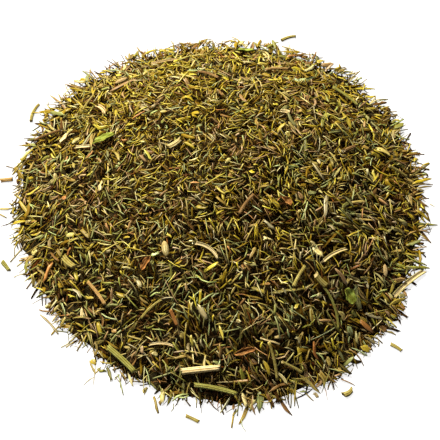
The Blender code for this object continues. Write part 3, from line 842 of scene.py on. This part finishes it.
def tints_of(bits):
    """A tint for each bit: by chance, and darker where its neighbours lie over it, which is painted
    shade.
    """
    cells = to_cell(bits["y"]), to_cell(bits["x"])
    depth = blurred(pile.top, DEPTH_SHADE_REACH)[cells] - bits["height"] - bits["half_depth"]
    # Bits that lie deeper than their neighbours get darker tints: painted shade.
    depth_shade = np.clip((depth - DEPTH_SHADE_FROM) / (DEPTH_SHADE_TO - DEPTH_SHADE_FROM), 0.0, 1.0)
    rank = 0.62 + deal.normal(0, 0.18, len(bits)) - 0.55 * depth_shade
    return np.floor(np.clip(rank, 0.0, 0.999) * TINTS)


def add_forks(threads, tints):
    """Give some threads a branch that grows out of them at an angle."""
    chosen = deal.uniform(0, 1, len(threads)) < FORK_SHARE
    branches = threads[chosen].copy()
    root = deal.uniform(-0.3, 0.3, len(branches)) * branches["length"]
    lean = deal.choice((-1.0, 1.0), len(branches)) * deal.uniform(0.35, 0.8, len(branches))
    reach = branches["length"] * deal.uniform(0.4, 0.7, len(branches))
    heading = branches["heading"] + lean
    for axis, way in (("x", np.cos), ("y", np.sin)):
        branches[axis] += root * way(branches["heading"]) + reach / 2 * way(heading)
    branches["height"] += branches["pitch"] * (root + reach / 2 * np.cos(lean))
    branches["heading"], branches["length"] = heading, reach
    branches["half_width"] *= 0.85
    branches["half_depth"] *= 0.85
    return np.concatenate([threads, branches]), np.concatenate([tints, tints[chosen]])


families, tints = family_of(bits), tints_of(bits)
for index, (name, slot, _, _, colours) in enumerate(FAMILIES):
    finish = bit_finish(name + "_bits", *colours, seed=index * 101.3)
    random = np.random.default_rng(500 + index)
    mine = (families == index) & (bits["scrap"] == 0)
    threads, thread_tints = add_forks(bits[mine], tints[mine])
    make_bits(name + "_threads", thread_pattern, threads, thread_tints, finish, slot, random)
    mine = (families == index) & (bits["scrap"] > 0)
    make_bits(name + "_scraps", scrap_pattern, bits[mine], tints[mine], finish, slot, random)

# %% [markdown]
# ## Under the threads
# Between the threads one looks into the heap, where hardly any light comes. A near-black core
# closes the view: its colour is painted shade, standing for the threads deep inside that lie in
# shadow. It is half a sphere drawn out to the heap's outline, and its points take their heights
# from the field that the first threads were laid on.

# %% Make the dark core
CORE_MERIDIANS = 144
CORE_RINGS = 96
CORE_EDGE_INSET = 0.7 * MM


def reach_of(angle):
    """How far out the heap goes in one direction."""
    steps = np.arange(30 * MM, 50 * MM, GRID_STEP)
    hits = inside[to_cell(steps * math.sin(angle)), to_cell(steps * math.cos(angle))]
    return float(steps[hits][-1])


def make_core():
    bm = bmesh.new()
    bmesh.ops.create_uvsphere(bm, u_segments=CORE_MERIDIANS, v_segments=CORE_RINGS, radius=1.0)
    bmesh.ops.bisect_plane(
        bm, geom=bm.verts[:] + bm.edges[:] + bm.faces[:], dist=1e-6,
        plane_co=(0, 0, 0), plane_no=(0, 0, -1), clear_outer=True,
    )
    bmesh.ops.contextual_create(bm, geom=[edge for edge in bm.edges if edge.is_boundary])
    for vert in bm.verts:
        angle = math.atan2(vert.co.y, vert.co.x)
        share = 1.0 - math.asin(max(-1.0, min(1.0, vert.co.z))) / (math.pi / 2)
        reach = share * (reach_of(angle) - CORE_EDGE_INSET)
        x, y = reach * math.cos(angle), reach * math.sin(angle)
        top = float(core_top[to_cell(y), to_cell(x)])
        vert.co = (x, y, max(top, 0.05 * MM) if share < 0.999 else 0.03 * MM)
    return bm


def add_piece(name, bm, finish, slot, replaced):
    """Make an object of a bmesh, hang it on the root body, and hide the solid it replaces."""
    mesh = bpy.data.meshes.new(name)
    bm.to_mesh(mesh)
    bm.free()
    mesh.shade_smooth()
    mesh.materials.append(finish)
    piece = bpy.data.objects.new(name, mesh)
    bpy.context.scene.collection.objects.link(piece)
    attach(piece, "root")
    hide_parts(replaced)
    return piece


core_finish = Finish("deep_shade", 0.95)
where = core_finish.add("ShaderNodeTexCoord", {}, {}, "Object")
clumps = core_finish.noise(where, 900.0, 3.0, 0.6)
# The core's near-black colour is painted shade.
core_shade_colour = core_finish.ramp(clumps, [(0.3, (0.006, 0.004, 0.002)), (0.7, (0.030, 0.022, 0.008))])
core_finish.wear(core_shade_colour, None, clumps, 0.4 * MM)
add_piece("heap_core", make_core(), core_finish.material, "olive_leaf", MOUND)

# %% [markdown]
# ## Stalks
# Dill stalks dry into thin ribbed tubes with a white pith. Cut across, they show it at the ends.
# Each is a cone with cuts along it. The ribs are a wave round its radius, and the ends are inset
# and pushed in. Two attributes carry the piece's own measures to its finish: where a point was
# before the piece was laid down, and how much of it is pith. A third follows the ribs, high on them
# and low between them, and darkens the skin between the ribs, which is painted shade.

# %% Shape a cut stalk
STALK_SIDES = 20
STALK_CUTS = 11
STALK_TAPER = 0.9
RIB_COUNT = 7
RIB_HEIGHT = 0.10


def mark_piece(bm, offset):
    """Keep each point's place along, across and up the piece, in millimetres."""
    layer = bm.verts.layers.float_vector.new("grain_place")
    for vert in bm.verts:
        vert[layer] = vert.co / MM + Vector((offset, 0.0, 0.0))


def bow_piece(bm, lie):
    """Bend a straight piece sideways as its solid is bent."""
    for vert in bm.verts:
        f = vert.co.x / (lie.length / 2)
        vert.co.y += lie.bend * (0.33 - f * f)


def stalk(lie, random):
    """A ribbed stalk with its pith showing in both ends."""
    radius = lie.width / 2
    bm = bmesh.new()
    bmesh.ops.create_cone(
        bm, cap_ends=True, segments=STALK_SIDES, depth=lie.length,
        radius1=radius, radius2=radius * STALK_TAPER,
    )
    sides = [e for e in bm.edges if abs(e.verts[0].co.z - e.verts[1].co.z) > lie.length / 2]
    bmesh.ops.subdivide_edges(bm, edges=sides, cuts=STALK_CUTS)
    bmesh.ops.rotate(bm, verts=bm.verts[:], matrix=Matrix.Rotation(math.pi / 2, 3, "Y"))
    pith = bm.verts.layers.float.new("pith")
    ends = [face for face in bm.faces if abs(face.normal.x) > 0.9]
    for end in ends:
        bmesh.ops.inset_region(bm, faces=[end], thickness=radius * 0.3)
        inward = -math.copysign(radius * 0.35, end.normal.x)
        bmesh.ops.translate(bm, verts=end.verts[:], vec=(inward, 0, 0))
        for vert in end.verts:
            vert[pith] = 1.0
    stripe = bm.verts.layers.float.new("stripe")
    phase = random.uniform(0, math.tau)
    squash = random.uniform(0.78, 1.0)
    for vert in bm.verts:
        angle = math.atan2(vert.co.z, vert.co.y)
        f = vert.co.x / (lie.length / 2)
        wave = math.cos(RIB_COUNT * angle + phase) * (1.0 - vert[pith])
        # The stripe is low between the ribs, and the finish darkens the skin there: painted shade.
        vert[stripe] = 0.5 + 0.5 * wave
        rib = 1.0 + RIB_HEIGHT * wave
        swell = 1.0 + 0.06 * math.sin(2.6 * f + phase) + 0.10 * abs(f) ** 8
        vert.co.y *= rib * swell
        vert.co.z *= rib * swell * squash
        vert.co.x += 0.35 * vert.co.y * math.copysign(abs(f) ** 6, f)
        if abs(f) > 0.9:
            vert.co.x += random.normal(0.0, radius * 0.16)
    return bm


def split_stalk(lie, random):
    """A stalk that split lengthwise: a trough with a thick wall of pith inside it."""
    radius = lie.width / 2
    bm = bmesh.new()
    bmesh.ops.create_grid(bm, x_segments=STALK_CUTS + 3, y_segments=9, size=1.0)
    phase = random.uniform(0, math.tau)
    for vert in bm.verts:
        along, around = vert.co.x, vert.co.y * math.radians(104)
        ragged = 1.0 + 0.05 * math.sin(9 * vert.co.y + phase) + random.normal(0.0, 0.012)
        wide = radius * (1.0 - 0.06 * along) * (1.0 + 0.04 * math.cos(7 * around + phase))
        end = lie.length / 2 * along * (ragged if abs(along) > 0.9 else 1.0)
        vert.co = (end, wide * math.sin(around), -wide * math.cos(around) * 0.8)
    outer = set(bm.verts)
    bmesh.ops.recalc_face_normals(bm, faces=bm.faces[:])
    below = min(bm.faces, key=lambda face: face.calc_center_median().z)
    if below.normal.z > 0:
        bmesh.ops.reverse_faces(bm, faces=bm.faces[:])
    bmesh.ops.solidify(bm, geom=bm.faces[:], thickness=radius * 0.42)
    pith = bm.verts.layers.float.new("pith")
    stripe = bm.verts.layers.float.new("stripe")
    for vert in bm.verts:
        vert[pith] = 0.0 if math.hypot(vert.co.y, vert.co.z / 0.8) > radius * 0.82 else 1.0
        vert[stripe] = 0.5 + 0.5 * math.cos(9 * vert.co.y / radius + phase)
    return bm

# %% [markdown]
# ## Flakes and seeds
# A flake is a scrap of leaf or skin that curled as it dried: a grid drawn out to a ragged
# leaf outline, cupped, crinkled and given a thin wall. A dill seed is a flat oval grain with
# three fine ribs on its back and a thin pale wing round it.

# %% Shape flakes and seeds
FLAKE_WALL = 0.13 * MM
FLAKE_CUTS = (17, 9)


def flake(lie, random):
    """A thin curled scrap with a ragged edge."""
    bm = bmesh.new()
    bmesh.ops.create_cube(bm, size=2.0)
    for axis, cuts in ((0, FLAKE_CUTS[0]), (1, FLAKE_CUTS[1])):
        edges = [e for e in bm.edges if abs(e.verts[0].co[axis] - e.verts[1].co[axis]) > 1.9]
        bmesh.ops.subdivide_edges(bm, edges=edges, cuts=cuts, use_grid_fill=True)
    phases = random.uniform(0, math.tau, 5)
    for vert in bm.verts:
        u, v, side = vert.co
        outline = (1.0 - abs(u) ** 2.4) ** 0.6 + 0.10
        ragged = 1.0 + 0.12 * math.sin(7 * u + phases[0]) + 0.08 * math.sin(13 * u * v + phases[1])
        skew = 0.18 * math.sin(2.2 * u + phases[2])
        x = u * lie.length / 2 * (1.0 + 0.08 * math.sin(5 * v + phases[3]))
        y = (v * outline * ragged + skew) * lie.width / 2
        cup = 0.34 * u * u + 0.42 * v * v * outline
        crinkle = 0.06 * math.sin(6 * u + phases[4]) + 0.05 * math.sin(9 * v + 5 * u)
        vein = 0.10 * math.exp(-(v / 0.16) ** 2)
        vert.co = (x, y, (cup + crinkle - vein - 0.25) * lie.thickness + side * FLAKE_WALL / 2)
    bm.verts.layers.float.new("pith")
    stripe = bm.verts.layers.float.new("stripe")
    for vert in bm.verts:
        vert[stripe] = 0.65 - 0.35 * math.cos(9 * vert.co.y / lie.width)
    return bm


def seed(lie, random):
    """A ribbed oval grain with a wing along each side."""
    bm = bmesh.new()
    bmesh.ops.create_uvsphere(bm, u_segments=36, v_segments=20, radius=1.0)
    bmesh.ops.rotate(bm, verts=bm.verts[:], matrix=Matrix.Rotation(math.pi / 2, 3, "Y"))
    pith = bm.verts.layers.float.new("pith")
    stripe = bm.verts.layers.float.new("stripe")
    for vert in bm.verts:
        u, v, w = vert.co
        ribs = 0.09 * max(0.0, math.cos(5.2 * math.pi * v / (0.35 + abs(w)) / 2)) * (1.0 - u * u)
        wing = math.exp(-(w / 0.16) ** 2) * (1.0 - u ** 4)
        point = 1.0 - 0.20 * max(0.0, u) ** 3 - 0.10 * max(0.0, -u) ** 3
        y = v * point * (0.90 + 0.12 * wing)
        z = w * point * (1.0 + (ribs if w > 0 else -0.25))
        vert[pith] = wing * 0.8
        # The furrows between the ribs and the whole underside get a low stripe, which the finish
        # turns into painted shade.
        vert[stripe] = 0.45 + (0.55 * ribs / 0.09 if w > 0 else 0.0)
        vert.co = (u * lie.length / 2, y * lie.width / 2, z * lie.thickness / 2)
    return bm

# %% [markdown]
# ## Finish of the stalks, flakes and seeds
# All of them are dry plant skin. It is painted darker between the ribs of stalks and seeds and on
# the underside of seeds, which is painted shade; on flakes and split stalks the same value draws
# stripes along the piece, darkest down a flake's sunken middle, which is painted shade as well.
# Long streaks run with the grain, and broad stains lie across it. A paler colour stands where the
# pith shows. One function mixes these from the piece's own measures, and each kind has its own
# colours.

# %% Finish of dry plant skin
def skin_finish(name, colour_low, colour_high, pale=(0.26, 0.21, 0.11), roughness=0.6):
    finish = Finish(name, roughness)
    place = finish.add("ShaderNodeAttribute", {"attribute_name": "grain_place"}, {}, "Vector")
    pith = finish.add("ShaderNodeAttribute", {"attribute_name": "pith"}, {}, "Fac")
    stripe = finish.add("ShaderNodeAttribute", {"attribute_name": "stripe"}, {}, "Fac")
    x, y, z = finish.parts_of(place)
    streaks = finish.noise(finish.place(x * 0.35, y * 4.0, z * 4.0), 1.0, 3.0, 0.6)
    stains = finish.noise(place, 0.9, 3.0, 0.6)
    specks = finish.noise(place, 6.0, 2.0, 0.5)
    colour = finish.mix((stains * 0.7 + specks * 0.3).between(0.40, 0.62), colour_low, colour_high)
    colour = finish.mix(pith.between(0.15, 0.8) * 0.85, colour, pale)
    # The stripe darkens the skin between ribs, in furrows and under seeds: painted shade.
    brightness = (0.38 + stripe * 0.9) * (0.30 + streaks * 1.4) * (0.70 + specks * 0.6)
    colour = finish.sink(colour, brightness)
    rough = specks * 0.3 + (roughness - 0.15)
    return finish.wear(colour, rough, stripe * 0.6 + streaks, 0.10 * MM)


CREAM_SKIN = skin_finish("cream_skin", (0.22, 0.165, 0.070), (0.32, 0.265, 0.140))
PALE_SKIN = skin_finish("pale_skin", (0.17, 0.135, 0.052), (0.23, 0.195, 0.090))
OLIVE_SKIN = skin_finish("olive_straw_skin", (0.115, 0.094, 0.020), (0.165, 0.139, 0.042))
TAN_SKIN = skin_finish("tan_skin", (0.15, 0.085, 0.028), (0.20, 0.135, 0.048))
GREEN_SKIN = skin_finish("green_skin", (0.100, 0.095, 0.018), (0.130, 0.128, 0.034))
LEAF_SKIN = skin_finish("leaf_skin", (0.070, 0.084, 0.010), (0.11, 0.120, 0.018))
BROWN_SKIN = skin_finish("brown_skin", (0.080, 0.043, 0.015), (0.12, 0.074, 0.027))
RUST_SKIN = skin_finish("rust_skin", (0.110, 0.043, 0.011), (0.17, 0.080, 0.022))
SEED_SKIN = skin_finish("seed_skin", (0.14, 0.095, 0.040), (0.18, 0.130, 0.058))

# %% [markdown]
# ## Laying the finished pieces down
# Each piece was made along X with its middle at the origin, so the matrix of its solid's
# place and directions carries its points to where it lies. The object itself stays at the
# origin.

# %% Dress every loose solid
# Start of a node's name, slot, finish, and how much of the solid's width it keeps.
LOOKS = [
    ("straw_stalk_front", "straw_stalk", CREAM_SKIN, 1.0),
    ("straw_stalk_edge_right", "straw_stalk", OLIVE_SKIN, 0.95),
    ("straw_stalk_right", "straw_stalk", OLIVE_SKIN, 0.75),
    ("straw_stalk_left_low", "straw_stalk", OLIVE_SKIN, 0.65),
    ("straw_stalk_far_right", "straw_stalk", OLIVE_SKIN, 0.8),
    ("straw_stalk_far_left", "straw_stalk", TAN_SKIN, 1.0),
    ("straw_", "straw_stalk", TAN_SKIN, 0.65),
    ("cream_stub", "cream_pith", PALE_SKIN, 1.1),
    ("cream_bend", "cream_pith", PALE_SKIN, 0.8),
    ("cream_", "cream_pith", CREAM_SKIN, 0.6),
    ("green_stalk_front", "green_stalk", GREEN_SKIN, 0.95),
    ("green_stub", "green_stalk", OLIVE_SKIN, 0.95),
    ("green_", "green_stalk", GREEN_SKIN, 0.6),
    ("brown_stalk_front_left", "brown_stalk", RUST_SKIN, 0.8),
    ("brown_stalk_front", "brown_stalk", OLIVE_SKIN, 0.65),
    ("brown_", "brown_stalk", BROWN_SKIN, 0.7),
    ("leaf_", "green_leaf", LEAF_SKIN, 0.9),
    ("rust_", "rust_flake", RUST_SKIN, 0.7),
    ("pale_flake_right", "cream_pith", PALE_SKIN, 0.5),
    ("pale_", "cream_pith", CREAM_SKIN, 0.7),
    ("dill_seed_middle", "seed_coat", PALE_SKIN, 0.85),
    ("dill_seed", "seed_coat", SEED_SKIN, 0.75),
    ("stray_leaf", "green_leaf", OLIVE_SKIN, 1.0),
    ("stray_straw", "straw_stalk", GREEN_SKIN, 1.1),
    ("stray_brown", "brown_stalk", TAN_SKIN, 1.1),
    ("stray_green", "green_stalk", OLIVE_SKIN, 1.0),
]
SPLIT = ("straw_stalk_right", "straw_stalk_edge_right", "straw_stalk_far_left",
         "straw_stalk_back_left", "cream_stalk_left", "cream_curl_front", "cream_bend_middle")


def shape_for(name):
    """Which kind of piece a loose solid stands for."""
    if "flake" in name:
        return flake
    if "seed" in name:
        return seed
    return split_stalk if name in SPLIT else stalk


for index, (name, lie) in enumerate(lies.items()):
    slot, skin, fullness = next(look[1:] for look in LOOKS if name.startswith(look[0]))
    lie.width *= fullness
    random = np.random.default_rng(900 + index)
    bm = shape_for(name)(lie, random)
    mark_piece(bm, index * 13.0)
    if "flake" not in name and "seed" not in name:
        bow_piece(bm, lie)
    bmesh.ops.transform(bm, matrix=lie.matrix(), verts=bm.verts[:])
    for vert in bm.verts:
        vert.co.z = max(vert.co.z, 0.03 * MM)
    add_piece(name + "_fine", bm, skin, slot, name)
print(len(lies), "loose pieces dressed")
